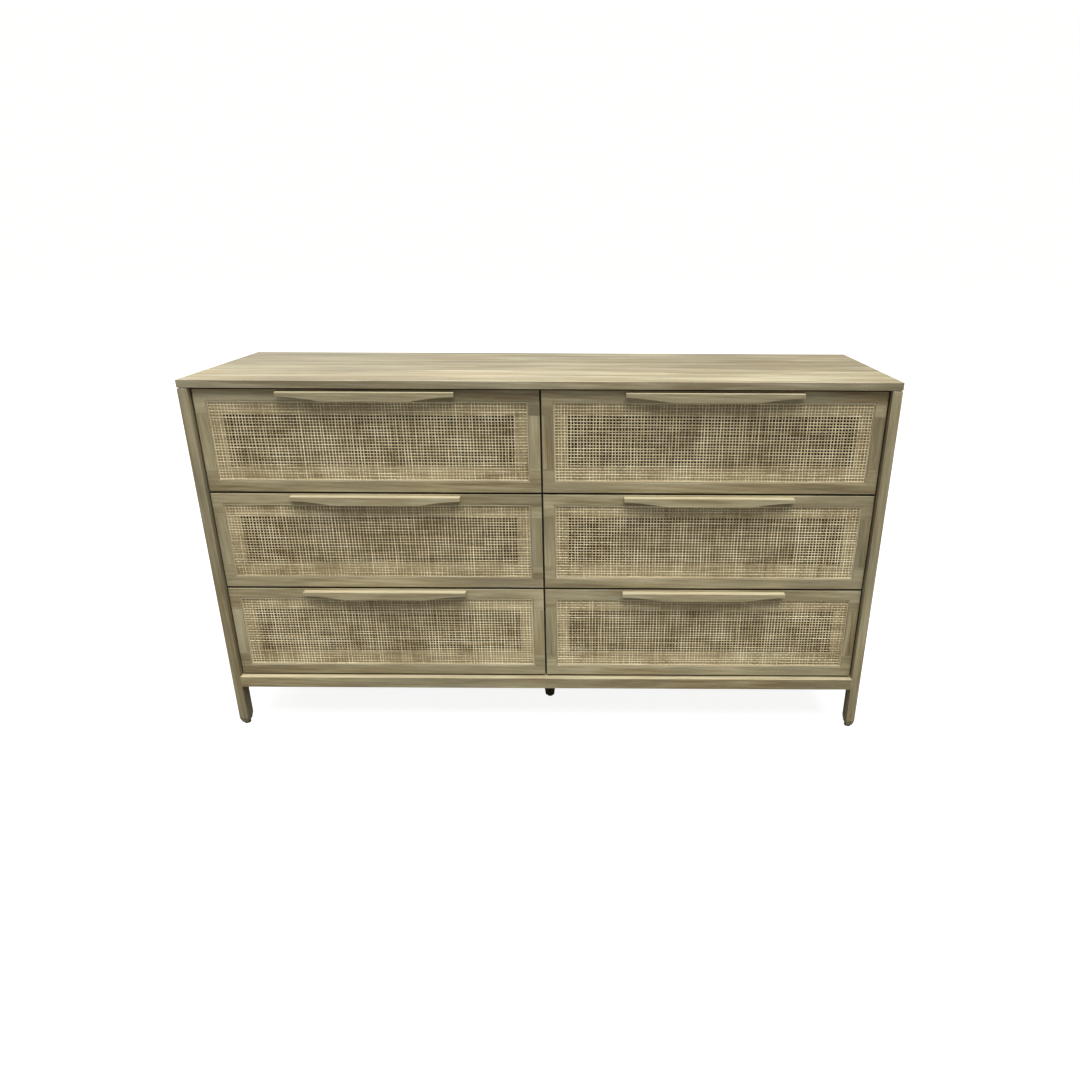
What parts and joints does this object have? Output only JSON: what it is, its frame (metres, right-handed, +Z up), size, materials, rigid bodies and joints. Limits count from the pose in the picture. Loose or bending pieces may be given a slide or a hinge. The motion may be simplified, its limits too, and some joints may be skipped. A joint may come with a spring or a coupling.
{
  "type": "dresser with drawers",
  "caption": "Wide low dresser on short legs with framed woven cane drawer fronts on telescopic runners and shaped wooden bar pulls.",
  "frame": {"origin": "on the floor, under the middle of the object's width and depth, pulls included", "axes": "+X to the right seen from the front, +Y to the back, +Z up"},
  "size_m": [1.524, 0.4612, 0.845],
  "materials": {
    "top_wood": "limed hardwood planks, matt lacquer",
    "case_wood": "limed hardwood, matt lacquer",
    "front_wood": "limed hardwood, matt lacquer",
    "pull_wood": "limed hardwood, matt lacquer",
    "bead_wood": "limed hardwood strip",
    "foot_wood": "stained hardwood",
    "cane": "woven natural cane, unvarnished",
    "drawer_board": "birch plywood, clear lacquer",
    "inner_board": "veneered board, matt",
    "back_board": "thin plywood, matt",
    "runner_steel": "zinc-plated pressed steel",
    "screw_steel": "zinc-plated screws",
    "glide_plastic": "black moulded plastic"
  },
  "bodies": {
    "case": {"top_panel": "top_wood", "front_left_leg": "case_wood", "front_right_leg": "case_wood", "back_left_leg": "case_wood", "back_right_leg": "case_wood", "left_side_panel": "case_wood", "right_side_panel": "case_wood", "front_rail": "case_wood", "back_rail": "case_wood", "base_panel": "inner_board", "top_front_stretcher": "inner_board", "top_back_stretcher": "inner_board", "centre_divider": "inner_board", "back_panel": "back_board", "centre_foot": "foot_wood", "foot_glides": "glide_plastic", "back_screws": "screw_steel", "cabinet_runners": "runner_steel"},
    "bottom_left_drawer": {"bottom_left_front_frame": "front_wood", "bottom_left_cane_panel": "cane", "bottom_left_cane_beads": "bead_wood", "bottom_left_pull": "pull_wood", "bottom_left_box": "drawer_board", "bottom_left_runner_inner": "runner_steel"},
    "bottom_left_runner": {"bottom_left_runner_middle": "runner_steel"},
    "middle_left_drawer": {"middle_left_front_frame": "front_wood", "middle_left_cane_panel": "cane", "middle_left_cane_beads": "bead_wood", "middle_left_pull": "pull_wood", "middle_left_box": "drawer_board", "middle_left_runner_inner": "runner_steel"},
    "middle_left_runner": {"middle_left_runner_middle": "runner_steel"},
    "top_left_drawer": {"top_left_front_frame": "front_wood", "top_left_cane_panel": "cane", "top_left_cane_beads": "bead_wood", "top_left_pull": "pull_wood", "top_left_box": "drawer_board", "top_left_runner_inner": "runner_steel"},
    "top_left_runner": {"top_left_runner_middle": "runner_steel"},
    "bottom_right_drawer": {"bottom_right_front_frame": "front_wood", "bottom_right_cane_panel": "cane", "bottom_right_cane_beads": "bead_wood", "bottom_right_pull": "pull_wood", "bottom_right_box": "drawer_board", "bottom_right_runner_inner": "runner_steel"},
    "bottom_right_runner": {"bottom_right_runner_middle": "runner_steel"},
    "middle_right_drawer": {"middle_right_front_frame": "front_wood", "middle_right_cane_panel": "cane", "middle_right_cane_beads": "bead_wood", "middle_right_pull": "pull_wood", "middle_right_box": "drawer_board", "middle_right_runner_inner": "runner_steel"},
    "middle_right_runner": {"middle_right_runner_middle": "runner_steel"},
    "top_right_drawer": {"top_right_front_frame": "front_wood", "top_right_cane_panel": "cane", "top_right_cane_beads": "bead_wood", "top_right_pull": "pull_wood", "top_right_box": "drawer_board", "top_right_runner_inner": "runner_steel"},
    "top_right_runner": {"top_right_runner_middle": "runner_steel"}
  },
  "joints": [
    {"name": "bottom_left_slide", "type": "slide", "parent": "case", "child": "bottom_left_drawer", "axis": [0, -1, 0], "range_m": [0, 0.35]},
    {"name": "bottom_left_runner_slide", "type": "slide", "parent": "case", "child": "bottom_left_runner", "axis": [0, -1, 0], "range_m": [0, 0.175]},
    {"name": "middle_left_slide", "type": "slide", "parent": "case", "child": "middle_left_drawer", "axis": [0, -1, 0], "range_m": [0, 0.35]},
    {"name": "middle_left_runner_slide", "type": "slide", "parent": "case", "child": "middle_left_runner", "axis": [0, -1, 0], "range_m": [0, 0.175]},
    {"name": "top_left_slide", "type": "slide", "parent": "case", "child": "top_left_drawer", "axis": [0, -1, 0], "range_m": [0, 0.35]},
    {"name": "top_left_runner_slide", "type": "slide", "parent": "case", "child": "top_left_runner", "axis": [0, -1, 0], "range_m": [0, 0.175]},
    {"name": "bottom_right_slide", "type": "slide", "parent": "case", "child": "bottom_right_drawer", "axis": [0, -1, 0], "range_m": [0, 0.35]},
    {"name": "bottom_right_runner_slide", "type": "slide", "parent": "case", "child": "bottom_right_runner", "axis": [0, -1, 0], "range_m": [0, 0.175]},
    {"name": "middle_right_slide", "type": "slide", "parent": "case", "child": "middle_right_drawer", "axis": [0, -1, 0], "range_m": [0, 0.35]},
    {"name": "middle_right_runner_slide", "type": "slide", "parent": "case", "child": "middle_right_runner", "axis": [0, -1, 0], "range_m": [0, 0.175]},
    {"name": "top_right_slide", "type": "slide", "parent": "case", "child": "top_right_drawer", "axis": [0, -1, 0], "range_m": [0, 0.35]},
    {"name": "top_right_runner_slide", "type": "slide", "parent": "case", "child": "top_right_runner", "axis": [0, -1, 0], "range_m": [0, 0.175]}
  ],
  "couplings": [
    {"joint": "bottom_left_runner_slide", "follows": "bottom_left_slide", "ratio": 0.5},
    {"joint": "middle_left_runner_slide", "follows": "middle_left_slide", "ratio": 0.5},
    {"joint": "top_left_runner_slide", "follows": "top_left_slide", "ratio": 0.5},
    {"joint": "bottom_right_runner_slide", "follows": "bottom_right_slide", "ratio": 0.5},
    {"joint": "middle_right_runner_slide", "follows": "middle_right_slide", "ratio": 0.5},
    {"joint": "top_right_runner_slide", "follows": "top_right_slide", "ratio": 0.5}
  ]
}
